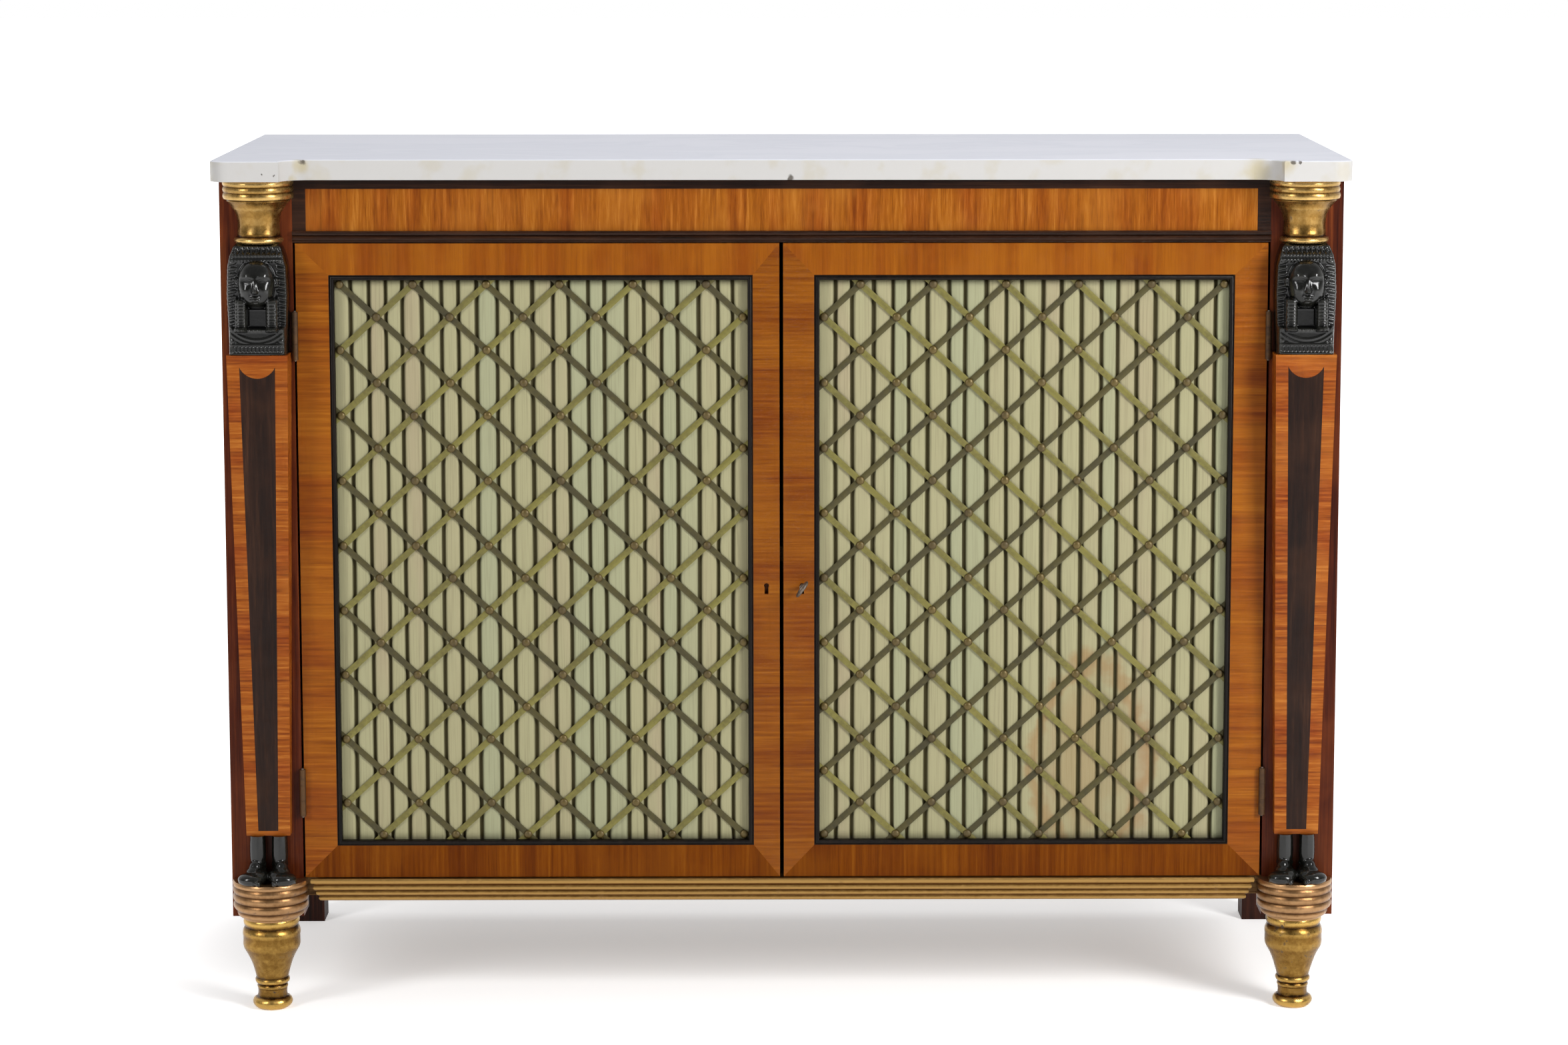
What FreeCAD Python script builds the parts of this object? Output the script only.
"""Regency style side cabinet with a breakfront marble top and two trellised doors.

The frame has its origin under the middle of the case, on the floor. X runs to the right, Y to the
back and Z up, so the doors face -Y. Every length is in millimetres and every angle in degrees.
Driving sizes are in the sheet Sizes, what follows from them is in the sheet Places, and the corners of
the drawn outlines are in the sheet Outlines.
"""
import FreeCAD, Part
import math
import os
import re

import Sketcher
from FreeCAD import Vector

SIZES = {
    # whole cabinet
    "overall_height": 900.0,
    "overall_depth": 440.0,
    "slab_width": 1172.0,
    "slab_side_overhang": 4.5,
    "slab_thickness": 21.0,
    "corner_projection": 46.0,
    "centre_projection": 18.0,
    "slab_corner_reach": 72.0,
    "slab_corner_radius": 20.0,
    "slab_arris": 1.6,
    "back_overhang": 8.0,
    # carcass
    "panel_thickness": 18.0,
    "board_thickness": 18.0,
    "bottom_thickness": 20.0,
    "post_width": 75.1,
    "post_depth": 42.0,
    "stop_width": 9.5,
    "back_thickness": 8.0,
    "back_recess": 6.0,
    "shelf_thickness": 16.0,
    "shelf_rise": 331.0,
    "shelf_setback": 5.0,
    "shelf_play": 0.5,
    "peg_radius": 3.0,
    "peg_length": 14.0,
    "peg_seat": 6.5,
    "peg_inset": 40.0,
    "cut_overrun": 2.0,
    # frieze
    "frieze_height": 66.0,
    "frieze_rail_thickness": 20.0,
    "veneer_thickness": 2.0,
    "frieze_band_height": 10.5,
    "frieze_end_width": 14.0,
    "frieze_moulding_height": 12.0,
    "frieze_moulding_depth": 6.0,
    # base
    "base_top": 139.0,
    "base_moulding_height": 25.5,
    "base_moulding_depth": 12.0,
    "base_moulding_play": 0.3,
    "side_moulding_depth": 5.0,
    "bottom_board_setback": 6.0,
    "back_foot_width": 37.0,
    "back_foot_depth": 38.0,
    "back_foot_inset": 4.0,
    # doors
    "door_side_gap": 2.4,
    "door_end_gap": 1.0,
    "door_thickness": 22.0,
    "meeting_gap": 4.0,
    "meeting_shift": 1.0,
    "hinge_stile_width": 34.0,
    "left_meeting_width": 27.5,
    "right_meeting_width": 32.2,
    "top_rail_width": 33.0,
    "bottom_rail_width": 34.0,
    "bead_width": 5.5,
    "bead_depth": 7.0,
    "bead_proud": 1.0,
    # trellis, rosettes and silk
    "panel_play": 0.3,
    "trellis_thickness": 1.8,
    "trellis_border": 4.6,
    "strip_width": 6.4,
    "node_margin": 10.3,
    "column_count": 11,
    "row_count": 17,
    "rosette_radius": 4.6,
    "rosette_height": 2.2,
    "silk_clearance": 0.5,
    "pleat_pitch": 19.4,
    "pleat_depth": 3.2,
    "pleat_wander": 1.4,
    "silk_core": 1.5,
    "batten_width": 10.0,
    "batten_depth": 8.0,
    # hinges
    "hinge_length": 50.0,
    "upper_hinge_inset": 96.0,
    "lower_hinge_inset": 92.0,
    "hinge_radius": 3.4,
    "hinge_lead": 0.2,
    "knuckle_gap": 0.2,
    "leaf_width": 18.0,
    "leaf_thickness": 1.1,
    "pin_radius": 1.6,
    "pin_play": 0.05,
    "pin_stub": 1.2,
    "screw_radius": 1.1,
    "screw_head_radius": 2.3,
    "screw_length": 9.0,
    "screw_play": 0.05,
    "screw_spread": 17.0,
    "screw_depth_place": 11.0,
    "batten_screw_length": 6.0,
    # lock and key
    "lock_rise": 312.0,
    "lock_backset": 19.5,
    "lock_case_width": 29.0,
    "lock_case_height": 50.0,
    "lock_case_depth": 11.0,
    "lock_wall": 1.5,
    "bolt_height": 14.0,
    "bolt_thickness": 2.8,
    "bolt_length": 22.7,
    "bolt_inset": 0.3,
    "bolt_rear_gap": 0.7,
    "bolt_play": 0.3,
    "bolt_throw_room": 12.0,
    "strike_thickness": 1.2,
    "keyhole_radius": 2.6,
    "keyhole_slot_width": 4.0,
    "keyhole_drop": 9.0,
    "key_shank_radius": 2.2,
    "key_reach": 14.0,
    "key_bow_radius": 8.2,
    "key_bow_wire": 1.7,
    "key_bit_length": 7.0,
    "key_bit_width": 3.4,
    "key_bit_thickness": 2.4,
    "key_bolt_gap": 0.4,
    "key_tilt": 36.0,
    # flush bolts
    "rod_width": 4.0,
    "rod_length": 100.0,
    "rod_play": 0.3,
    "rod_end_inset": 0.5,
    "rod_travel": 10.0,
    "rod_plate_width": 15.0,
    "rod_plate_length": 84.0,
    "rod_plate_inset": 9.0,
    "rod_plate_thickness": 1.2,
    "knob_height": 6.0,
    "knob_reach": 5.0,
    "knob_place": 60.0,
    # pilasters
    "pilaster_inset": 40.5,
    "capital_radius": 38.0,
    "mask_height": 114.0,
    "mask_width": 64.0,
    "mask_depth": 24.0,
    "chest_depth": 30.0,
    "chest_height": 34.0,
    "face_width": 38.0,
    "face_height": 54.0,
    "face_depth": 36.0,
    "face_drop": 50.0,
    "lappet_width": 13.0,
    "lappet_lead": 5.0,
    "term_feet_height": 49.0,
    "shaft_top_width": 63.0,
    "shaft_bottom_width": 46.0,
    "shaft_top_depth": 33.0,
    "shaft_bottom_depth": 12.0,
    "inlay_top_width": 37.0,
    "inlay_bottom_width": 21.0,
    "inlay_thickness": 1.5,
    "inlay_top_margin": 12.0,
    "inlay_bottom_margin": 5.0,
    "lunette_depth": 12.0,
    "foot_width": 19.0,
    "foot_length": 40.0,
    "foot_height": 19.0,
    "foot_spacing": 23.0,
    "ankle_radius": 9.0,
    "ankle_top_radius": 8.0,
    "ankle_setback": 11.0,
    "plinth_radius": 42.0,
    "leg_radius": 31.5,
    "leg_height": 98.0,
}

PLACES = {
    "slab_bottom": "overall_height - slab_thickness",
    "back_plane": "overall_depth / 2",
    "corner_front": "-overall_depth / 2",
    "door_front": "corner_front + corner_projection",
    "slab_front": "door_front - centre_projection",
    "body_back": "back_plane - back_overhang",
    "body_half": "slab_width / 2 - slab_side_overhang",
    "panel_inner": "body_half - panel_thickness",
    "post_inner": "body_half - post_width",
    "pair_half": "post_inner - door_side_gap",
    "post_back": "door_front + post_depth",
    "base_bottom": "base_top - base_moulding_height",
    "board_under": "base_top - bottom_thickness",
    "top_board_under": "slab_bottom - board_thickness",
    "frieze_bottom": "slab_bottom - frieze_height",
    "frieze_face": "door_front + veneer_thickness",
    "frieze_back": "frieze_face + frieze_rail_thickness",
    "frieze_panel_bottom": "frieze_bottom + frieze_moulding_height",
    "frieze_panel_top": "slab_bottom - frieze_band_height",
    "frieze_panel_half": "post_inner - frieze_end_width",
    "door_bottom": "base_top + door_end_gap",
    "door_top": "frieze_bottom - door_end_gap",
    "door_back": "door_front + door_thickness",
    "upper_hinge_height": "door_top - upper_hinge_inset",
    "lower_hinge_height": "door_bottom + lower_hinge_inset",
    "lock_height": "door_bottom + lock_rise",
    "shelf_height": "base_top + shelf_rise",
    "opening_bottom": "door_bottom + bottom_rail_width",
    "opening_top": "door_top - top_rail_width",
    "opening_outer": "pair_half - hinge_stile_width",
    "left_meeting": "-meeting_shift - meeting_gap / 2",
    "right_meeting": "meeting_gap / 2 - meeting_shift",
    "left_opening_inner": "left_meeting - left_meeting_width",
    "right_opening_inner": "right_meeting + right_meeting_width",
    "bead_front": "door_front - bead_proud",
    "bead_back": "bead_front + bead_depth",
    "trellis_back": "bead_back + trellis_thickness",
    "pleat_front": "trellis_back + silk_clearance",
    "pleat_valley": "pleat_front + pleat_depth",
    "silk_back": "pleat_valley + silk_core",
    "batten_back": "silk_back + batten_depth",
    "back_panel_front": "body_back - back_recess - back_thickness",
    "board_front": "door_front + bottom_board_setback",
    "hinge_x": "pair_half + door_side_gap / 2",
    "hinge_y": "door_front - hinge_lead - hinge_radius",
    "lock_front": "door_back - lock_case_depth",
    "key_x": "right_meeting + lock_backset",
    "bolt_back": "door_back - lock_wall - bolt_rear_gap",
    "bolt_front": "bolt_back - bolt_thickness",
    "key_end": "bolt_front - key_bolt_gap",
    "key_shank_front": "door_front - key_reach",
    "rod_x": "left_meeting - left_meeting_width / 2",
    "rod_back": "door_back - rod_plate_thickness - rod_play",
    "pilaster_x": "body_half - pilaster_inset",
    "mask_top": "frieze_bottom",
    "mask_bottom": "mask_top - mask_height",
    "shaft_bottom": "base_top + term_feet_height",
    "shaft_height": "mask_bottom - shaft_bottom",
    "inlay_top": "mask_bottom - inlay_top_margin",
    "inlay_bottom": "shaft_bottom + inlay_bottom_margin",
    "plinth_height": "base_top - leg_height",
}

# Bows of arcs, as shares of their chords: a quarter circle, a reed and a shallow swelling.
QUARTER_SHARE = (math.sqrt(2) - 1) / 2
REED_SHARE = 0.36
HOLLOW_SHARE = -0.16
SWELL_SHARE = 0.04

# Turned outlines from the bottom up: radius share, height share and bow of the edge that follows.
LEG_SHARES = (
    (0.54, 0.0, 0.0),
    (0.667, 0.035, REED_SHARE),
    (0.657, 0.095, HOLLOW_SHARE),
    (0.467, 0.19, 0.0),
    (0.56, 0.21, REED_SHARE),
    (0.56, 0.275, 0.0),
    (0.52, 0.28, REED_SHARE),
    (0.52, 0.345, 0.0),
    (0.533, 0.37, SWELL_SHARE),
    (0.96, 0.80, REED_SHARE / 2),
    (0.92, 0.915, 0.0),
    (0.95, 0.93, REED_SHARE / 2),
    (0.95, 1.0, 0.0),
)
PLINTH_SHARES = (
    (0.74, 0.0, 0.0),
    (0.80, 0.03, REED_SHARE),
    (0.80, 0.25, 0.0),
    (0.88, 0.26, REED_SHARE),
    (0.88, 0.48, 0.0),
    (0.92, 0.49, REED_SHARE),
    (0.92, 0.70, 0.0),
    (0.95, 0.71, REED_SHARE / 2),
    (0.95, 0.95, 0.0),
    (0.93, 1.0, 0.0),
)
CAPITAL_SHARES = (
    (0.60, 0.0, REED_SHARE),
    (0.60, 0.10, 0.0),
    (0.54, 0.11, REED_SHARE / 2),
    (0.54, 0.20, 0.0),
    (0.55, 0.21, HOLLOW_SHARE),
    (0.82, 0.60, 0.0),
    (0.84, 0.61, 0.0),
    (0.84, 0.65, 0.0),
    (0.88, 0.66, REED_SHARE),
    (0.88, 0.78, 0.0),
    (0.86, 0.79, REED_SHARE / 2),
    (0.96, 0.88, 0.0),
    (1.0, 0.89, 0.0),
    (1.0, 1.0, 0.0),
)

# Moulding outlines from the back of the foot upwards: depth share, height share and bow.
BASE_MOULDING_SHARES = (
    (0.62, 0.0, REED_SHARE),
    (0.72, 0.20, 0.0),
    (0.72, 0.22, REED_SHARE),
    (0.80, 0.42, 0.0),
    (0.80, 0.44, REED_SHARE),
    (0.86, 0.64, 0.0),
    (0.66, 0.70, 0.0),
    (0.66, 0.78, 0.0),
    (0.96, 0.80, 0.0),
    (1.0, 0.84, 0.0),
    (1.0, 1.0, 0.0),
)
FRIEZE_MOULDING_SHARES = (
    (0.55, 0.0, 0.0),
    (0.55, 0.12, REED_SHARE),
    (0.55, 0.62, 0.0),
    (0.95, 0.66, REED_SHARE / 2),
    (0.95, 1.0, 0.0),
)

# Front outline of the mask's head cloth: half width share, height share and the bow that follows.
MASK_SHARES = (
    (0.94, 0.0, 0.0),
    (1.0, 0.55, 0.0),
    (0.97, 0.80, REED_SHARE / 2),
    (0.72, 1.0, 0.0),
)
FACE_RISE_SHARE = 0.11
KNUCKLE_SHARE = 1 / 3
PLEAT_TURN_SHARE = 0.37
BATTEN_SCREW_SHARES = ((0.25, 0.0), (0.75, 0.0), (0.25, 1.0), (0.75, 1.0),
                       (0.0, 0.3), (0.0, 0.7), (1.0, 0.3), (1.0, 0.7))

SIDES = {"left": -1, "right": 1}
ROD_ENDS = {"upper": 1, "lower": -1}
PEG_PLACES = ("post_back + peg_inset", "back_panel_front - peg_inset")
HINGE_PLACES = ("upper_hinge_height", "lower_hinge_height")
LEAF_DEEP = ("door_front - cut_overrun", "door_front + leaf_width")
UP = Vector(0, 0, 1)
BACKWARD = Vector(0, 1, 0)
RIGHTWARD = Vector(1, 0, 0)
NAME = re.compile(r"[a-z]+(?:_[a-z]+)+")

document = FreeCAD.newDocument("side_cabinet")
sizes = document.addObject("Spreadsheet::Sheet", "Sizes")
places = document.addObject("Spreadsheet::Sheet", "Places")
outlines = document.addObject("Spreadsheet::Sheet", "Outlines")
nodes = []
outline_rows = [0]


def formula(text):
    """Writes before each name in text the sheet that holds it."""
    return NAME.sub(lambda found: owner(found.group()) + found.group(), text)


def owner(name):
    """Names the sheet that holds a size or a place."""
    return "Sizes." if name in SIZES else "Places."


def fill_sheets():
    """Writes the driving sizes as plain numbers and the places as formulas."""
    for row, (name, value) in enumerate(SIZES.items(), start=1):
        sizes.set(f"A{row}", name)
        sizes.set(f"B{row}", str(value))
        sizes.setAlias(f"B{row}", name)
    for row, (name, text) in enumerate(PLACES.items(), start=1):
        places.set(f"A{row}", name)
        places.set(f"B{row}", "=" + formula(text).replace("Places.", ""))
        places.setAlias(f"B{row}", name)
    document.recompute()


def number(name):
    """Reads a size or a place from its sheet."""
    return float((sizes if name in SIZES else places).get(name))


def bind(item, **texts):
    """Binds properties of an object to formulas; x, y and z stand for its place."""
    for key, text in texts.items():
        path = "Placement.Base." + key if key in ("x", "y", "z") else key
        item.setExpression(path, formula(text))
    return item


def node(item, label):
    """Keeps an object as one of the cabinet's pieces, under its own name."""
    item.Label = label
    nodes.append(item)
    return item


def box(name, across, deep, high):
    """Adds a box between low and high texts along each axis."""
    item = document.addObject("Part::Box", name)
    spans = [f"({high_end}) - ({low_end})" for low_end, high_end in (across, deep, high)]
    return bind(item, Length=spans[0], Width=spans[1], Height=spans[2], x=across[0], y=deep[0], z=high[0])


def cylinder(name, radius, length, place, turn=None):
    """Adds a cylinder that starts at a place; turn is its rotation, upright when it is left out."""
    item = document.addObject("Part::Cylinder", name)
    item.Placement = FreeCAD.Placement(Vector(), turn or FreeCAD.Rotation())
    return bind(item, Radius=radius, Height=length, x=place[0], y=place[1], z=place[2])


def fused(name, items):
    """Joins objects into one solid."""
    item = document.addObject("Part::MultiFuse", name)
    item.Shapes = items
    item.Refine = True
    return item


def grouped(name, items):
    """Keeps several solids together as one group."""
    item = document.addObject("Part::Compound", name)
    item.Links = items
    return item


def cut(name, base, tools):
    """Cuts the tools away from the base."""
    item = document.addObject("Part::Cut", name)
    item.Base = base
    item.Tool = tools[0] if len(tools) == 1 else fused(name + "_tools", tools)
    return item


def shape(name, solid):
    """Adds an object that holds a finished shape."""
    item = document.addObject("Part::Feature", name)
    item.Shape = solid
    return item


def mirrored_span(side, near, far):
    """Gives the low and high texts of a span at a distance from the middle, on either side."""
    if side > 0:
        return (near, far)
    return (f"-({far})", f"-({near})")


def centred(middle, size):
    """Gives the low and high texts of a span about its middle."""
    return (f"{middle} - {size} / 2", f"{middle} + {size} / 2")


def cell(text):
    """Writes a formula into the next free cell of the outlines and gives the cell's name."""
    outline_rows[0] += 1
    name = f"B{outline_rows[0]}"
    outlines.set(name, "=" + formula(text))
    return name


def drawn(body, role, corners):
    """Draws a closed outline on one of the body's own planes.

    corners holds, for each corner, two texts and the bow of the edge after it, outwards when positive.
    """
    plane = [item for item in body.Origin.OriginFeatures if item.Role == role][0]
    sketch = body.newObject("Sketcher::SketchObject", body.Name + "_outline")
    sketch.AttachmentSupport = [(plane, "")]
    sketch.MapMode = "FlatFace"
    cells = [(cell(across), cell(up)) for across, up, _bow in corners]
    outlines.recompute()
    points = [Vector(float(outlines.get(x)), float(outlines.get(y)), 0) for x, y in cells]
    ends = []
    for index, (start, (_across, _up, bow)) in enumerate(zip(points, corners)):
        end = points[(index + 1) % len(points)]
        ends.append(add_edge(sketch, start, end, bow))
    for index, pair in enumerate(ends):
        follower = ends[(index + 1) % len(ends)]
        joint = Sketcher.Constraint("Coincident", index, pair[1], (index + 1) % len(ends), follower[0])
        sketch.addConstraint(joint)
    for index, (pair, names) in enumerate(zip(ends, cells)):
        for kind, name, value in zip(("DistanceX", "DistanceY"), names, points[index]):
            row = sketch.addConstraint(Sketcher.Constraint(kind, -1, 1, index, pair[0], value))
            sketch.setExpression(f"Constraints[{row}]", "Outlines." + name)
    for index, (_across, _up, bow) in enumerate(corners):
        if bow:
            add_radius(sketch, index, bow, cells[index], cells[(index + 1) % len(cells)])
    return sketch


def add_edge(sketch, start, end, bow):
    """Adds a line or an arc to a sketch and gives which of its ends start and finish it."""
    if not bow:
        sketch.addGeometry(Part.LineSegment(start, end))
        return (1, 2)
    along = end - start
    outward = Vector(along.y, -along.x, 0)
    index = sketch.addGeometry(Part.Arc(start, (start + end) / 2 + outward * bow, end))
    first = sketch.getPoint(index, 1)
    return (1, 2) if (first - start).Length < (first - end).Length else (2, 1)


def add_radius(sketch, index, bow, start, end):
    """Binds an arc's radius to its chord and its bow."""
    share = abs(bow)
    chord = f"hypot(Outlines.{end[0]} - Outlines.{start[0]}; Outlines.{end[1]} - Outlines.{start[1]})"
    text = f"{chord} * {(share * share + 0.25) / (2 * share)}"
    radius = sketch.Geometry[index].Radius
    row = sketch.addConstraint(Sketcher.Constraint("Radius", index, radius))
    sketch.setExpression(f"Constraints[{row}]", text)


def padded(name, role, corners, length, midplane=False):
    """Adds a body that pads one outline."""
    body = document.addObject("PartDesign::Body", name)
    sketch = drawn(body, role, corners)
    pad = body.newObject("PartDesign::Pad", name + "_pad")
    pad.Profile = sketch
    pad.Midplane = midplane
    pad.setExpression("Length", formula(length))
    return body


def turned(name, radius, height, shares, half):
    """Adds a body turned about Z; a half-round one has its flat back on the XZ plane and bulges to -Y."""
    body = document.addObject("PartDesign::Body", name)
    corners = [("0", "0", 0)]
    corners += [(f"{radius} * {out}", f"{height} * {up}", bow) for out, up, bow in shares]
    corners.append(("0", height, 0))
    sketch = drawn(body, "XZ_Plane", corners)
    revolution = body.newObject("PartDesign::Revolution", name + "_turning")
    revolution.Profile = sketch
    revolution.ReferenceAxis = (sketch, ["V_Axis"])
    revolution.Angle = 180.0 if half else 360.0
    revolution.Reversed = half
    return body


def moulded(name, role, depth, height, shares, length):
    """Adds a straight moulding whose back is on its own plane and whose face looks to -Y."""
    corners = [("0", "0", 0)]
    corners += [(f"-{depth} * {out}", f"{height} * {up}", -bow) for out, up, bow in shares]
    corners.append(("0", height, 0))
    return padded(name, role, corners, length, midplane=True)


def build_marble_top():
    """Makes the slab, with projecting corners that a hollow step joins to the recessed middle."""
    half = "slab_width / 2"
    shoulder = f"{half} - slab_corner_radius"
    step = f"{half} - slab_corner_reach"
    inner = f"{step} - corner_projection + centre_projection"
    left = [
        (f"-({half})", "corner_front + slab_corner_radius", QUARTER_SHARE),
        (f"-({shoulder})", "corner_front", 0),
        (f"-({step})", "corner_front", -QUARTER_SHARE),
        (f"-({inner})", "slab_front", 0),
    ]
    right = [
        (inner, "slab_front", -QUARTER_SHARE),
        (step, "corner_front", 0),
        (shoulder, "corner_front", QUARTER_SHARE),
        (half, "corner_front + slab_corner_radius", 0),
    ]
    back = [(half, "back_plane", 0), (f"-({half})", "back_plane", 0)]
    body = padded("slab", "XY_Plane", back + left + right, "slab_thickness")
    bind(body, z="slab_bottom")
    document.recompute()
    pad = body.Tip
    faces = pad.Shape.Faces
    top = max(range(len(faces)), key=lambda index: faces[index].CenterOfMass.z)
    arris = body.newObject("PartDesign::Fillet", "slab_arris_round")
    arris.Base = (pad, [f"Face{top + 1}"])
    arris.setExpression("Radius", formula("slab_arris"))
    node(body, "marble_top")


def build_carcass():
    """Makes the boards, side panels, back panel, shelf and posts."""
    full = ("-panel_inner", "panel_inner")
    top = box("top_blank", full, ("frieze_back", "body_back"), ("top_board_under", "slab_bottom"))
    bottom = box("bottom_blank", full, ("board_front", "body_back"), ("board_under", "base_top"))
    top_notches = []
    bottom_notches = []
    for word, side in SIDES.items():
        across = mirrored_span(side, "post_inner", "panel_inner + cut_overrun")
        top_notches.append(box(word + "_top_notch", across, ("frieze_back - cut_overrun", "post_back"),
                               ("top_board_under - cut_overrun", "slab_bottom + cut_overrun")))
        bottom_notches.append(box(word + "_bottom_notch", across, ("board_front - cut_overrun", "post_back"),
                                  ("board_under - cut_overrun", "base_top + cut_overrun")))
    node(cut("top_cut", top, top_notches), "top_board")
    socket = box("lower_rod_socket", centred("rod_x", "(rod_width + 2 * rod_play)"), rod_depth("rod_play"),
                 ("base_top - rod_travel - rod_play", "base_top + cut_overrun"))
    node(cut("bottom_cut", bottom, bottom_notches + [socket]), "bottom_board")
    for word, side in SIDES.items():
        build_side(word, side)
    node(box("back_sheet", full, ("back_panel_front", "back_panel_front + back_thickness"),
             ("base_top", "top_board_under")), "back_panel")
    node(box("shelf_board", ("shelf_play - panel_inner", "panel_inner - shelf_play"),
             ("post_back + shelf_setback", "back_panel_front - shelf_play"),
             ("shelf_height", "shelf_height + shelf_thickness")), "shelf")


def build_side(word, side):
    """Makes one side panel with its peg holes, and the post in front of it with the door's stop."""
    panel = box(word + "_side_blank", mirrored_span(side, "panel_inner", "body_half"),
                ("post_back", "body_back"), ("base_bottom", "slab_bottom"))
    holes = [peg(word, side, place, "peg_radius", "") for place in PEG_PLACES]
    node(cut(word + "_side_cut", panel, holes), word + "_side_panel")
    post = box(word + "_post_blank", mirrored_span(side, "post_inner", "body_half"),
               ("door_front", "post_back"), ("leg_height", "slab_bottom"))
    stop = box(word + "_stop", mirrored_span(side, "post_inner - stop_width", "post_inner"),
               ("door_back + panel_play", "post_back"), ("base_top", "frieze_bottom"))
    blank = fused(word + "_post_whole", [post, stop])
    tools = []
    across = mirrored_span(side, "post_inner - cut_overrun", "post_inner + leaf_thickness")
    for place in HINGE_PLACES:
        tools.append(box(f"{word}_{place}_post_recess", across, LEAF_DEEP, centred(place, "hinge_length")))
    tools.append(shape(word + "_post_pilots", screw_holes(side, "post_inner", 1)))
    node(cut(word + "_post_cut", blank, tools), word + "_corner_post")


def peg(word, side, place, radius, ending):
    """Adds one shelf peg, or the hole it sits in."""
    turn = FreeCAD.Rotation(BACKWARD, 90 * side)
    start = "panel_inner + peg_seat - peg_length"
    x = start if side > 0 else f"-({start})"
    name = f"{word}_{place.split()[0]}_peg{ending}"
    return cylinder(name, radius, "peg_length", (x, place, "shelf_height - peg_radius"), turn)


def build_pegs():
    """Makes the four pegs that carry the shelf."""
    pegs = [peg(word, side, place, "peg_radius", "_solid")
            for word, side in SIDES.items() for place in PEG_PLACES]
    node(grouped("peg_group", pegs), "shelf_pegs")


def rod_depth(play):
    """Gives the front and back texts of a flush bolt's rod, or of the groove around it."""
    return (f"rod_back - rod_width - {play}", f"rod_back + {play}")


def build_frieze():
    """Makes the frieze rail, its satinwood panel, the rosewood border round it and the moulding below."""
    rail = box("rail_blank", ("-post_inner", "post_inner"), ("frieze_face", "frieze_back"),
               ("frieze_bottom", "slab_bottom"))
    socket = box("upper_rod_socket", centred("rod_x", "(rod_width + 2 * rod_play)"), rod_depth("rod_play"),
                 ("frieze_bottom - cut_overrun", "frieze_bottom + rod_travel + rod_play"))
    node(cut("rail_cut", rail, [socket]), "frieze_rail")
    deep = ("door_front", "frieze_face")
    panel = box("panel_sheet", ("-frieze_panel_half", "frieze_panel_half"), deep,
                ("frieze_panel_bottom", "frieze_panel_top"))
    node(panel, "frieze_panel")
    blank = box("border_blank", ("-post_inner", "post_inner"), deep, ("frieze_panel_bottom", "slab_bottom"))
    window = box("border_window", ("-frieze_panel_half", "frieze_panel_half"),
                 ("door_front - cut_overrun", "frieze_face + cut_overrun"),
                 ("frieze_panel_bottom - cut_overrun", "frieze_panel_top"))
    node(cut("border_cut", blank, [window]), "frieze_border")
    moulding = moulded("frieze_moulding_body", "YZ_Plane", "frieze_moulding_depth", "frieze_moulding_height",
                       FRIEZE_MOULDING_SHARES, "2 * post_inner")
    node(bind(moulding, y="frieze_face", z="frieze_bottom"), "frieze_moulding")


def build_base():
    """Makes the gilt reeded mouldings round the foot of the case and the two plain back feet."""
    front = moulded("front_moulding", "YZ_Plane", "base_moulding_depth", "base_moulding_height",
                    BASE_MOULDING_SHARES, "2 * (pilaster_x - plinth_radius - base_moulding_play)")
    bind(front, y="board_front", z="base_bottom")
    runs = [front]
    blocks = []
    for word, side in SIDES.items():
        run = moulded(word + "_side_moulding", "YZ_Plane", "side_moulding_depth", "base_moulding_height",
                      BASE_MOULDING_SHARES, "body_back - post_back")
        run.Placement = FreeCAD.Placement(Vector(), FreeCAD.Rotation(UP, 90 * side))
        across = "body_half" if side > 0 else "-body_half"
        runs.append(bind(run, x=across, y="(body_back + post_back) / 2", z="base_bottom"))
        across = mirrored_span(side, "panel_inner - back_foot_width", "panel_inner")
        deep = ("body_back - back_foot_inset - back_foot_depth", "body_back - back_foot_inset")
        blocks.append(box(word + "_back_block", across, deep, ("0", "board_under")))
    node(grouped("base_runs", runs), "base_mouldings")
    node(grouped("back_blocks", blocks), "back_feet")


def build_pilasters():
    """Makes both Egyptian terms: capital, mask, shaft with its inlay, feet, plinth and turned leg."""
    inlays = []
    plinths = []
    for word, side in SIDES.items():
        x = "pilaster_x" if side > 0 else "-pilaster_x"
        capital = turned(word + "_capital_body", "capital_radius", "frieze_height", CAPITAL_SHARES, True)
        node(bind(capital, x=x, y="door_front", z="frieze_bottom"), word + "_capital")
        build_mask(word, x)
        inlays.append(build_shaft(word, x))
        build_term_feet(word, x)
        plinth = turned(word + "_plinth_body", "plinth_radius", "plinth_height", PLINTH_SHARES, True)
        plinths.append(bind(plinth, x=x, y="door_front", z="leg_height"))
        leg = turned(word + "_leg_body", "leg_radius", "leg_height", LEG_SHARES, False)
        node(bind(leg, x=x, y="door_front"), word + "_front_leg")
    node(grouped("inlay_pair", inlays), "term_panels")
    node(grouped("plinth_pair", plinths), "leg_plinths")


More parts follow.
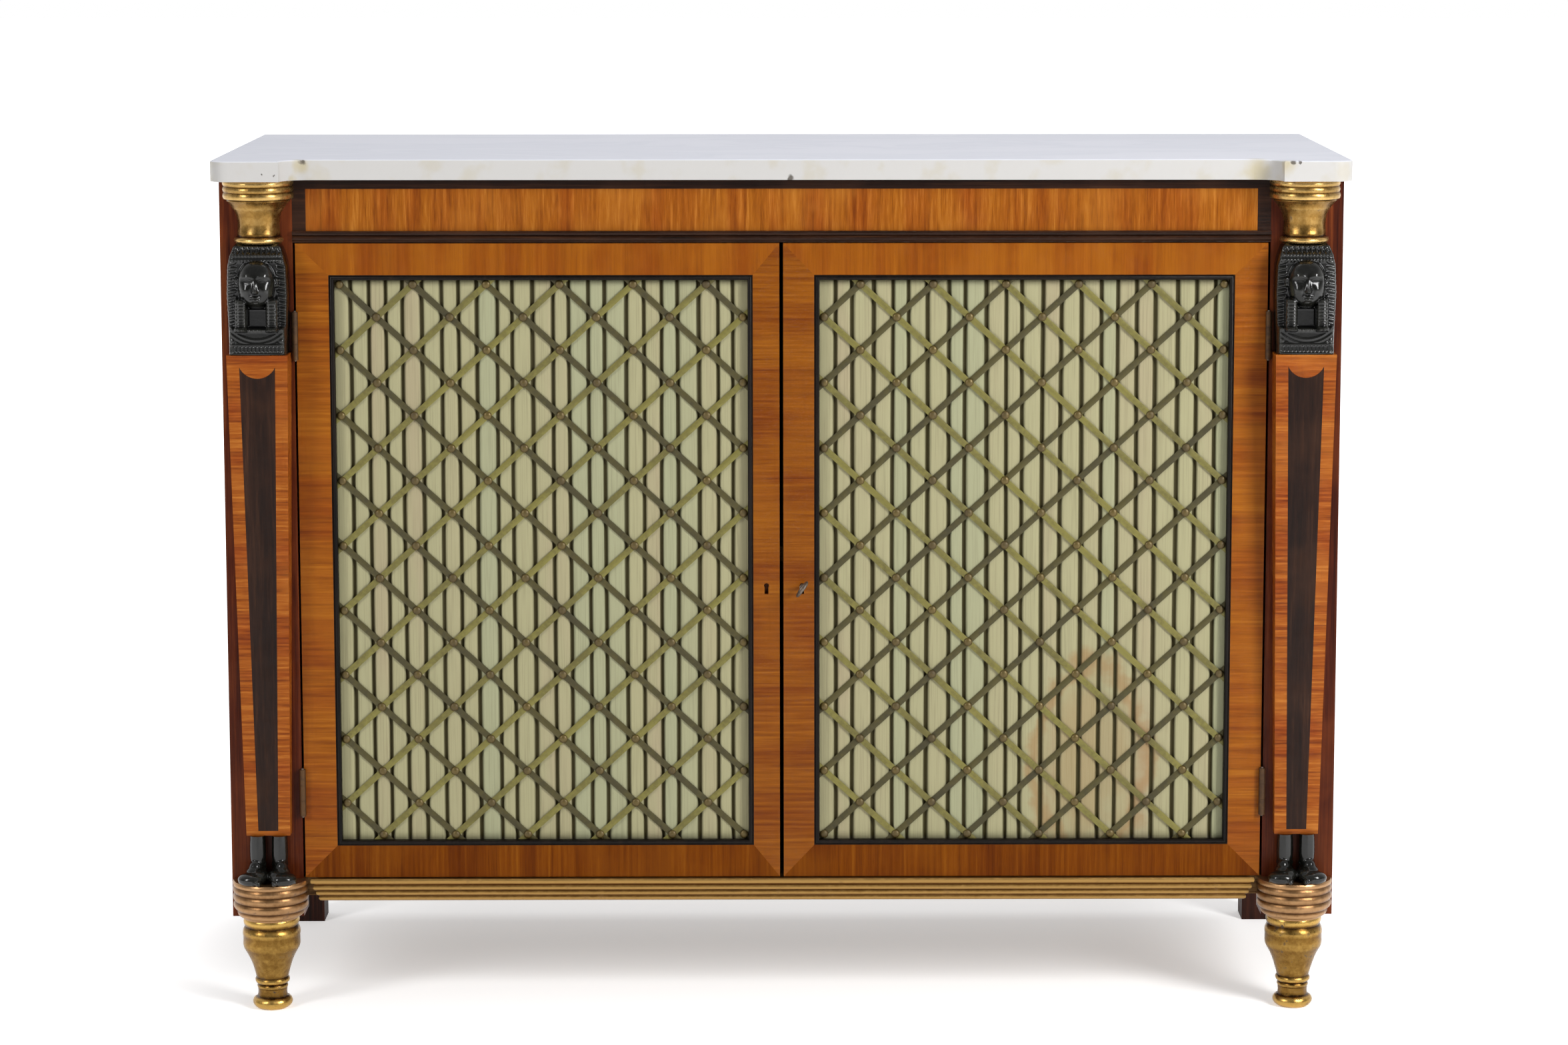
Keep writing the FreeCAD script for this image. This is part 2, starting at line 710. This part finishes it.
def build_mask(word, x):
    """Makes one mask: head cloth, chest with two lappets, and an egg-shaped face."""
    right = [(f"mask_width / 2 * {out}", f"mask_height * {up}", bow) for out, up, bow in MASK_SHARES]
    turning = [bow for _out, _up, bow in MASK_SHARES][:-1] + [0]
    left = [(f"-mask_width / 2 * {out}", f"mask_height * {up}", bow)
            for (out, up, _bow), bow in zip(reversed(MASK_SHARES), reversed([0] + turning[:-1]))]
    cloth = padded(word + "_head_cloth", "XZ_Plane", right + left, "mask_depth")
    bind(cloth, x=x, y="door_front", z="mask_bottom")
    foot = MASK_SHARES[0][0]
    chest = box(word + "_chest", centred(x, f"mask_width * {foot}"),
                ("door_front - chest_depth", "door_front"), ("mask_bottom", "mask_bottom + chest_height"))
    face = document.addObject("Part::Ellipsoid", word + "_face")
    face.setExpression("Radius1", formula("face_height / 2"))
    face.setExpression("Radius2", formula("face_width / 2"))
    face.setExpression("Radius3", formula("face_depth / 2"))
    bind(face, x=x, y=f"door_front - mask_depth + face_depth * {FACE_RISE_SHARE}", z="mask_top - face_drop")
    parts = [cloth, chest, face]
    for hand, sign in SIDES.items():
        edge = f"mask_width / 2 * {foot}"
        near = f"{x} {'+' if sign > 0 else '-'} ({edge})"
        span = (f"{near} - lappet_width", near) if sign > 0 else (near, f"{near} + lappet_width")
        parts.append(box(f"{word}_{hand}_lappet", span,
                         ("door_front - chest_depth - lappet_lead", "door_front"),
                         ("mask_bottom", "mask_bottom + face_height")))
    node(fused(word + "_mask_whole", parts), word + "_mask")


def build_shaft(word, x):
    """Makes the tapering shaft that leans back to its foot, with the dark inlay let into its face."""
    def wedge(name, setback):
        item = document.addObject("Part::Wedge", name)
        item.Placement = FreeCAD.Placement(Vector(), FreeCAD.Rotation(RIGHTWARD, 90))
        ends = {"Xmin": "-shaft_bottom_width / 2", "Xmax": "shaft_bottom_width / 2",
                "X2min": "-shaft_top_width / 2", "X2max": "shaft_top_width / 2", "Ymin": "0",
                "Ymax": "shaft_height", "Zmin": "0", "Z2min": "0", "Zmax": f"shaft_bottom_depth{setback}",
                "Z2max": f"shaft_top_depth{setback}"}
        for key, text in ends.items():
            item.setExpression(key, formula(text))
        return bind(item, x=x, y="door_front", z="shaft_bottom")

    rise = "inlay_top - shaft_bottom"
    foot = "inlay_bottom - shaft_bottom"
    half = "inlay_top_width / 2"
    dip = number("lunette_depth") / number("inlay_top_width")
    corners = [("-inlay_bottom_width / 2", foot, 0), ("inlay_bottom_width / 2", foot, 0),
               (half, rise, -dip), (f"-{half}", rise, 0)]
    prism = padded(word + "_inlay_outline", "XZ_Plane", corners, "shaft_top_depth + cut_overrun")
    bind(prism, x=x, y="door_front", z="shaft_bottom")
    core = wedge(word + "_shaft_core", " - inlay_thickness")
    skin = cut(word + "_shaft_skin", wedge(word + "_shaft_outer", ""), [core])
    inlay = document.addObject("Part::Common", word + "_inlay")
    inlay.Base = prism
    inlay.Tool = skin
    node(cut(word + "_shaft_cut", wedge(word + "_shaft_blank", ""), [inlay]), word + "_term_shaft")
    return inlay


def build_term_feet(word, x):
    """Makes a pair of bare feet with their ankles, standing on the plinth."""
    parts = []
    for hand, sign in SIDES.items():
        middle = f"{x} {'+' if sign > 0 else '-'} foot_spacing / 2"
        sole = document.addObject("Part::Ellipsoid", f"{word}_{hand}_sole")
        sole.Angle1 = 0
        sole.setExpression("Radius1", formula("foot_height"))
        sole.setExpression("Radius2", formula("foot_width / 2"))
        sole.setExpression("Radius3", formula("foot_length / 2"))
        bind(sole, x=middle, y="door_front - foot_length / 2", z="base_top")
        ankle = document.addObject("Part::Cone", f"{word}_{hand}_ankle")
        bind(ankle, Height="term_feet_height", x=middle, y="door_front - ankle_setback", z="base_top")
        ankle.setExpression("Radius1", formula("ankle_radius"))
        ankle.setExpression("Radius2", formula("ankle_top_radius"))
        parts.append(fused(f"{word}_{hand}_foot", [sole, ankle]))
    node(grouped(word + "_feet", parts), word + "_term_feet")


def member(name, corners):
    """Makes one mitred member of a door frame."""
    body = padded(name + "_body", "XZ_Plane", [(x, z, 0) for x, z in corners], "door_thickness")
    return bind(body, y="door_back")


def build_door(word, side):
    """Makes one door: four mitred members, bead, trellis with rosettes, pleated silk and its battens."""
    outer = "pair_half" if side > 0 else "-pair_half"
    opening = "opening_outer" if side > 0 else "-opening_outer"
    meeting = word + "_meeting"
    inner = word + "_opening_inner"
    corners = {}
    for level in ("top", "bottom"):
        corners["outer", level] = (outer, "door_" + level)
        corners["meeting", level] = (meeting, "door_" + level)
        corners["opening", level] = (opening, "opening_" + level)
        corners["inner", level] = (inner, "opening_" + level)
    stile = member(word + "_stile", [corners["outer", "bottom"], corners["outer", "top"],
                                     corners["opening", "top"], corners["opening", "bottom"]])
    closing = member(word + "_closing", [corners["meeting", "bottom"], corners["meeting", "top"],
                                         corners["inner", "top"], corners["inner", "bottom"]])
    rails = {}
    for end, level in (("upper", "top"), ("lower", "bottom")):
        names = ("outer", "meeting", "inner", "opening")
        rails[end] = member(f"{word}_{end}", [corners[name, level] for name in names])
    cutters = []
    if word == "left":
        for end in ROD_ENDS:
            cutters += rod_cutters(end)
            rails[end] = cut(end + "_rail_cut", rails[end], cutters[-2:])
    node(rails["upper"], word + "_top_rail")
    node(rails["lower"], word + "_bottom_rail")
    tools = []
    across = mirrored_span(side, "pair_half - leaf_thickness", "pair_half + cut_overrun")
    for place in HINGE_PLACES:
        tools.append(box(f"{word}_{place}_door_recess", across, LEAF_DEEP, centred(place, "hinge_length")))
    tools.append(shape(word + "_stile_pilots", screw_holes(side, "pair_half", -1)))
    node(cut(word + "_stile_cut", stile, tools), word + "_hinge_stile")
    build_meeting_stile(word, closing, cutters)
    low, high = (opening, inner) if side < 0 else (inner, opening)
    build_filling(word, side, low, high)


def opening_ends(word, side):
    """Gives a door opening's left and right edges."""
    pair = (number("opening_outer") * side, number(word + "_opening_inner"))
    return (min(pair), max(pair))


def build_filling(word, side, low, high):
    """Makes what fills a door's opening, from the front bead to the battens at the back."""
    blank = box(word + "_bead_blank", (low, high), ("bead_front", "bead_back"),
                ("opening_bottom", "opening_top"))
    window = box(word + "_bead_window", (f"{low} + bead_width", f"{high} - bead_width"),
                 ("bead_front - cut_overrun", "bead_back + cut_overrun"),
                 ("opening_bottom + bead_width", "opening_top - bead_width"))
    node(cut(word + "_bead_cut", blank, [window]), word + "_bead")
    ends = opening_ends(word, side)
    node(shape(word + "_net", trellis(ends, side)), word + "_trellis")
    node(shape(word + "_bosses", rosettes(ends, side)), word + "_rosettes")
    node(shape(word + "_cloth", silk(ends, side)), word + "_silk")
    blank = box(word + "_batten_blank", (f"{low} + panel_play", f"{high} - panel_play"),
                ("silk_back", "batten_back"), ("opening_bottom + panel_play", "opening_top - panel_play"))
    margin = "panel_play - batten_width"
    window = box(word + "_batten_window", (f"{low} + panel_play + batten_width", f"{high} - {margin}"),
                 ("silk_back - cut_overrun", "batten_back + cut_overrun"),
                 ("opening_bottom + panel_play + batten_width", f"opening_top - {margin}"))
    pilots = shape(word + "_batten_pilots", Part.makeCompound(batten_screws(ends, number("screw_play"))))
    node(cut(word + "_batten_cut", blank, [window, pilots]), word + "_silk_battens")


def lattice(ends, side):
    """Gives the trellis crossings' pitches and first crossing, and the columns' order on this door."""
    margin = number("node_margin")
    bottom = number("opening_bottom")
    across = (ends[1] - ends[0] - 2 * margin) / number("column_count")
    up = (number("opening_top") - bottom - 2 * margin) / number("row_count")
    start = ends[0] + margin if side < 0 else ends[1] - margin
    return across * -side, up, start, bottom + margin


def clipped(points, low, high):
    """Clips a polygon to a rectangle, one edge of the rectangle at a time."""
    for axis, limit, sign in ((0, low[0], 1), (0, high[0], -1), (1, low[1], 1), (1, high[1], -1)):
        kept = []
        for index, point in enumerate(points):
            before = points[index - 1]
            inside = (point[axis] - limit) * sign >= 0
            if inside != ((before[axis] - limit) * sign >= 0):
                part = (limit - before[axis]) / (point[axis] - before[axis])
                kept.append(tuple(a + (b - a) * part for a, b in zip(before, point)))
            if inside:
                kept.append(point)
        points = kept
    return points


def trellis(ends, side):
    """Makes the crossing brass strips as one plate with a hole for each mesh."""
    across, up, start, bottom = lattice(ends, side)
    play = number("panel_play")
    border = number("trellis_border")
    low = (ends[0] + play, number("opening_bottom") + play)
    high = (ends[1] - play, number("opening_top") - play)
    inner_low = (low[0] + border, low[1] + border)
    inner_high = (high[0] - border, high[1] - border)
    reach = 1 - number("strip_width") * math.hypot(across, up) / (2 * abs(across) * up)
    columns = round(number("column_count"))
    rows = round(number("row_count"))
    front = number("bead_back")

    def ring(points):
        corners = [Vector(x, front, z) for x, z in points]
        return Part.makePolygon(corners + corners[:1])

    wires = [ring([low, (high[0], low[1]), high, (low[0], high[1])])]
    for column in range(-1, columns + 2):
        for row in range(-1, rows + 2):
            if (column + rows - row) % 2 == 0:
                continue
            x = start + column * across
            z = bottom + row * up
            aside = across * reach
            above = up * reach
            mesh = [(x - aside, z), (x, z - above), (x + aside, z), (x, z + above)]
            mesh = clipped(mesh, inner_low, inner_high)
            if len(mesh) > 2 and Part.Face(ring(mesh)).Area > number("strip_width"):
                wires.append(ring(mesh))
    print(len(wires) - 1, "meshes in the trellis")
    plate = Part.makeFace(wires, "Part::FaceMakerBullseye")
    return plate.extrude(Vector(0, number("trellis_thickness"), 0))


def rosettes(ends, side):
    """Makes the round bosses on the trellis's crossings, as a group."""
    across, up, start, bottom = lattice(ends, side)
    radius = number("rosette_radius")
    height = number("rosette_height")
    ball = (radius * radius + height * height) / (2 * height)
    tilt = math.degrees(math.asin((ball - height) / ball))
    boss = Part.makeSphere(ball, Vector(0, ball - height, 0), -BACKWARD, tilt, 90, 360)
    rows = round(number("row_count"))
    bosses = []
    for column in range(round(number("column_count")) + 1):
        for row in range(rows + 1):
            if (column + rows - row) % 2:
                continue
            copy = boss.copy()
            copy.translate(Vector(start + column * across, number("bead_back"), bottom + row * up))
            bosses.append(copy)
    return Part.makeCompound(bosses)


def silk(ends, side):
    """Makes the pleated silk: a flat back and upright pleats that wander a little from bottom to top."""
    play = number("panel_play")
    low = ends[0] + play
    high = ends[1] - play
    count = round((high - low) / number("pleat_pitch"))
    wander = number("pleat_wander")
    valley = number("pleat_valley")

    def outline(z, phase):
        turn = 2 * math.pi * PLEAT_TURN_SHARE
        folds = [low + (high - low) * index / count for index in range(count + 1)]
        for index in range(1, count):
            folds[index] += wander * math.sin(turn * index + phase)
        edges = []
        for left, right in zip(folds, folds[1:]):
            crest = Vector((left + right) / 2, number("pleat_front"), z)
            edges.append(Part.Arc(Vector(left, valley, z), crest, Vector(right, valley, z)).toShape())
        flat = number("silk_back")
        back = [Vector(high, valley, z), Vector(high, flat, z), Vector(low, flat, z), Vector(low, valley, z)]
        edges += [Part.makeLine(start, end) for start, end in zip(back, back[1:])]
        return Part.Wire(edges)

    bottom = outline(number("opening_bottom") + play, side)
    top = outline(number("opening_top") - play, side + 1)
    return Part.makeLoft([bottom, top], True, True)


def keyhole(name, x, back):
    """Adds the cutter of a keyhole: a round hole with a slot below it."""
    turn = FreeCAD.Rotation(RIGHTWARD, -90)
    hole = cylinder(name + "_round", "keyhole_radius", f"{back} - door_front + cut_overrun",
                    (x, "door_front - cut_overrun", "lock_height"), turn)
    slot = box(name + "_slot", centred(x, "keyhole_slot_width"), ("door_front - cut_overrun", back),
               ("lock_height - keyhole_drop", "lock_height"))
    return [hole, slot]


def build_meeting_stile(word, closing, cutters):
    """Cuts a meeting stile for the lock, or for the strike plate and with the flush bolts' cutters."""
    high = centred("lock_height", "lock_case_height")
    if word == "right":
        across = ("right_meeting - cut_overrun", "right_meeting + lock_case_width")
        tools = [box("lock_pocket", across, ("lock_front", "door_back + cut_overrun"), high)]
        tools += keyhole("right_keyhole", "key_x", "lock_front + cut_overrun")
    else:
        edge = ("left_meeting - strike_thickness", "left_meeting + cut_overrun")
        tools = [box("strike_recess", edge, ("lock_front", "door_back + cut_overrun"), high)]
        tools.append(box("bolt_mortise", ("left_meeting - bolt_throw_room", "left_meeting + cut_overrun"),
                         bolt_depth("bolt_play"), bolt_rise("bolt_play")))
        tools += keyhole("left_keyhole", "rod_x", "lock_front") + cutters
    node(cut(word + "_closing_cut", closing, tools), word + "_meeting_stile")


def bolt_depth(play):
    """Gives the front and back texts of the lock bolt, or of a hole around it."""
    return (f"bolt_front - {play}", f"bolt_back + {play}")


def bolt_rise(play):
    """Gives the low and high texts of the lock bolt, or of a hole around it."""
    return centred("lock_height", f"(bolt_height + 2 * {play})")


def build_lock():
    """Makes the lock's case and bolt, the strike plate and the key."""
    high = centred("lock_height", "lock_case_height")
    blank = box("case_blank", ("right_meeting", "right_meeting + lock_case_width"),
                ("lock_front", "door_back"), high)
    room = box("case_room", ("right_meeting + lock_wall", "right_meeting + lock_case_width - lock_wall"),
               ("lock_front + lock_wall", "door_back - lock_wall"),
               centred("lock_height", "(lock_case_height - 2 * lock_wall)"))
    slot = box("case_slot", ("right_meeting - cut_overrun", "right_meeting + lock_wall + cut_overrun"),
               bolt_depth("bolt_play"), bolt_rise("bolt_play"))
    tools = [room, slot] + keyhole("case_keyhole", "key_x", "lock_front + lock_wall + bolt_play")
    node(cut("case_cut", blank, tools), "lock_case")
    node(box("bolt_bar", ("right_meeting + bolt_inset", "right_meeting + bolt_inset + bolt_length"),
             ("bolt_front", "bolt_back"), centred("lock_height", "bolt_height")), "lock_bolt")
    blank = box("strike_blank", ("left_meeting - strike_thickness", "left_meeting"),
                ("lock_front", "door_back"), high)
    across = ("left_meeting - strike_thickness - cut_overrun", "left_meeting + cut_overrun")
    hole = box("strike_hole", across, bolt_depth("bolt_play"), bolt_rise("bolt_play"))
    node(cut("strike_cut", blank, [hole]), "strike_plate")
    build_key()


def build_key():
    """Makes the key, turned in its hole as it was left: bow, shank and bit."""
    turn = FreeCAD.Rotation(RIGHTWARD, -90)
    start = ("0", "key_shank_front", "0")
    shank = cylinder("key_shank", "key_shank_radius", "key_end - key_shank_front", start, turn)
    bow = document.addObject("Part::Torus", "key_bow")
    bow.Placement = FreeCAD.Placement(Vector(), FreeCAD.Rotation(BACKWARD, 90))
    bow.setExpression("Radius1", formula("key_bow_radius"))
    bow.setExpression("Radius2", formula("key_bow_wire"))
    bind(bow, y="key_shank_front - key_bow_radius")
    bit = box("key_bit", centred("0", "key_bit_thickness"), ("key_end - key_bit_width", "key_end"),
              ("-key_bit_length", "0"))
    key = fused("key_whole", [shank, bow, bit])
    key.Placement = FreeCAD.Placement(Vector(), FreeCAD.Rotation(BACKWARD, number("key_tilt")))
    key.setExpression("Placement.Rotation.Angle", formula("key_tilt"))
    node(bind(key, x="key_x", z="lock_height"), "key")


def rod_span(end, near, far):
    """Gives the low and high texts of a span measured inwards from the door's top or bottom."""
    if ROD_ENDS[end] > 0:
        return (f"door_top - ({far})", f"door_top - ({near})")
    return (f"door_bottom + {near}", f"door_bottom + {far}")


def rod_cutters(end):
    """Adds the cutters of one flush bolt's groove and of the seat of its plate."""
    groove = box(end + "_groove", centred("rod_x", "(rod_width + 2 * rod_play)"),
                 ("rod_back - rod_width - rod_play", "door_back + cut_overrun"),
                 rod_span(end, "-cut_overrun", "rod_end_inset + rod_length + rod_play"))
    seat = box(end + "_plate_seat", centred("rod_x", "rod_plate_width"),
               ("door_back - rod_plate_thickness", "door_back + cut_overrun"),
               rod_span(end, "rod_plate_inset", "rod_plate_inset + rod_plate_length"))
    return [groove, seat]


def build_flush_bolts():
    """Makes the two flush bolts of the left door and the slotted plates that hold them."""
    plates = []
    for end in ROD_ENDS:
        rod = box(end + "_rod", centred("rod_x", "rod_width"), ("rod_back - rod_width", "rod_back"),
                  rod_span(end, "rod_end_inset", "rod_end_inset + rod_length"))
        grip = box(end + "_grip", centred("rod_x", "(rod_width - 2 * rod_play)"),
                   ("rod_back - rod_play", "rod_back + knob_reach"),
                   rod_span(end, "knob_place", "knob_place + knob_height"))
        node(fused(end + "_bolt", [rod, grip]), end + "_flush_bolt")
        blank = box(end + "_plate", centred("rod_x", "rod_plate_width"),
                    ("door_back - rod_plate_thickness", "door_back"),
                    rod_span(end, "rod_plate_inset", "rod_plate_inset + rod_plate_length"))
        slot = box(end + "_plate_slot", centred("rod_x", "rod_width"),
                   ("door_back - rod_plate_thickness - cut_overrun", "door_back + cut_overrun"),
                   rod_span(end, "knob_place - rod_travel - 2 * rod_play",
                            "knob_place + knob_height + rod_play"))
        plates.append(cut(end + "_plate_cut", blank, [slot]))
    node(grouped("bolt_plates", plates), "flush_bolt_plates")


def screw(length, play):
    """Makes a countersunk screw along +X, its head's face at the origin; play makes the hole for it."""
    shank = number("screw_radius") + play
    head = number("screw_head_radius") + play
    sink = number("leaf_thickness")
    points = [Vector(), Vector(0, head, 0), Vector(sink, shank, 0), Vector(length + play, shank, 0),
              Vector(length + play, 0, 0), Vector()]
    return Part.Face(Part.makePolygon(points)).revolve(Vector(), RIGHTWARD, 360)


def screw_places(side, edge, way):
    """Gives the heads' places and the driving direction of a pair of hinges' screws."""
    x = number(edge) * side
    y = number("door_front") + number("screw_depth_place")
    spread = number("screw_spread")
    heights = [number(place) + step * spread for place in HINGE_PLACES for step in (-1, 0, 1)]
    return [Vector(x, y, z) for z in heights], way * side


def placed_screws(side, edge, way, play):
    """Makes the screws of one door's pair of hinges, or the holes for them."""
    spots, direction = screw_places(side, edge, way)
    solids = []
    for spot in spots:
        solid = screw(number("screw_length"), play)
        if direction < 0:
            solid.rotate(Vector(), UP, 180)
        solid.translate(spot)
        solids.append(solid)
    return solids


def screw_holes(side, edge, way):
    """Makes the cutter of the screw holes behind one door's pair of hinges."""
    return Part.makeCompound(placed_screws(side, edge, way, number("screw_play")))


def batten_screws(ends, play):
    """Makes the small screws that hold the silk's battens, or the holes for them, heads to the back."""
    low, high = ends
    inset = number("panel_play") + number("batten_width") / 2
    bottom = number("opening_bottom") + inset
    top = number("opening_top") - inset
    solids = []
    for across, up in BATTEN_SCREW_SHARES:
        x = low + inset + (high - low - 2 * inset) * across
        solid = screw(number("batten_screw_length"), play)
        solid.rotate(Vector(), UP, -90)
        solid.translate(Vector(x, number("batten_back"), bottom + (top - bottom) * up))
        solids.append(solid)
    return solids


def leaf(word, side, place, edge, way, knuckles):
    """Adds one hinge leaf with its knuckles. way is +1 for the post's leaf and -1 for the door's."""
    name = f"{word}_{place}_{'post' if way > 0 else 'door'}_leaf"
    far = f"{edge} + leaf_thickness" if way > 0 else f"{edge} - leaf_thickness"
    near_far = (edge, far) if way > 0 else (far, edge)
    plate = box(name + "_plate", mirrored_span(side, *near_far), ("door_front", "door_front + leaf_width"),
                centred(place, "hinge_length"))
    parts = [plate]
    x = "hinge_x" if side > 0 else "-hinge_x"
    for index, (start, end) in enumerate(knuckles):
        parts.append(box(f"{name}_ear_{index}", mirrored_span(side, *near_far),
                         ("hinge_y", "door_front"), (start, end)))
        parts.append(cylinder(f"{name}_knuckle_{index}", "hinge_radius", f"({end}) - ({start})",
                              (x, "hinge_y", start)))
    whole = fused(name + "_whole", parts)
    bore = cylinder(name + "_bore", "pin_radius + pin_play", "hinge_length + 2 * cut_overrun",
                    (x, "hinge_y", f"{place} - hinge_length / 2 - cut_overrun"))
    holes = shape(name + "_holes", screw_holes(side, edge, way))
    return cut(name, whole, [bore, holes])


def build_hinges():
    """Makes the butt hinges: leaves on the doors, leaves on the posts, pins and screws."""
    post_leaves = []
    pins = []
    post_screws = []
    for word, side in SIDES.items():
        door_leaves = []
        for place in HINGE_PLACES:
            low = f"{place} - hinge_length / 2"
            high = f"{place} + hinge_length / 2"
            first = f"{low} + hinge_length * {KNUCKLE_SHARE}"
            second = f"{high} - hinge_length * {KNUCKLE_SHARE}"
            middle = (f"{first} + knuckle_gap", f"{second} - knuckle_gap")
            post_leaves.append(leaf(word, side, place, "post_inner", 1, [(low, first), (second, high)]))
            door_leaves.append(leaf(word, side, place, "pair_half", -1, [middle]))
            x = "hinge_x" if side > 0 else "-hinge_x"
            pins.append(cylinder(f"{word}_{place}_pin", "pin_radius", "hinge_length + 2 * pin_stub",
                                 (x, "hinge_y", f"{low} - pin_stub")))
        node(grouped(word + "_leaves", door_leaves), word + "_door_hinges")
        door_screws = placed_screws(side, "pair_half", -1, 0) + batten_screws(opening_ends(word, side), 0)
        node(shape(word + "_screws", Part.makeCompound(door_screws)), word + "_door_screws")
        post_screws += placed_screws(side, "post_inner", 1, 0)
    node(grouped("post_leaf_group", post_leaves), "post_hinges")
    node(grouped("pin_group", pins), "hinge_pins")
    node(shape("post_screw_group", Part.makeCompound(post_screws)), "post_screws")


def check_and_write():
    """Checks every object and every piece, then writes one file for each piece."""
    document.recompute()
    failed = [item.Name for item in document.Objects if {"Invalid", "Error"} & set(item.State)]
    for item in nodes:
        if item.Shape.isNull() or not item.Shape.isValid() or not item.Shape.Solids:
            failed.append(item.Label)
    if failed:
        raise RuntimeError("failed objects: " + ", ".join(failed))
    os.makedirs("parts", exist_ok=True)
    for item in nodes:
        item.Shape.exportStep(os.path.join("parts", item.Label + ".step"))
        print(f"{item.Label}: {len(item.Shape.Solids)} solids, {item.Shape.Volume / 1000:.1f} cm3")
    print(len(nodes), "pieces")


fill_sheets()
build_marble_top()
build_carcass()
build_pegs()
build_frieze()
build_base()
build_pilasters()
for door_word, door_side in SIDES.items():
    build_door(door_word, door_side)
build_lock()
build_flush_bolts()
build_hinges()
check_and_write()
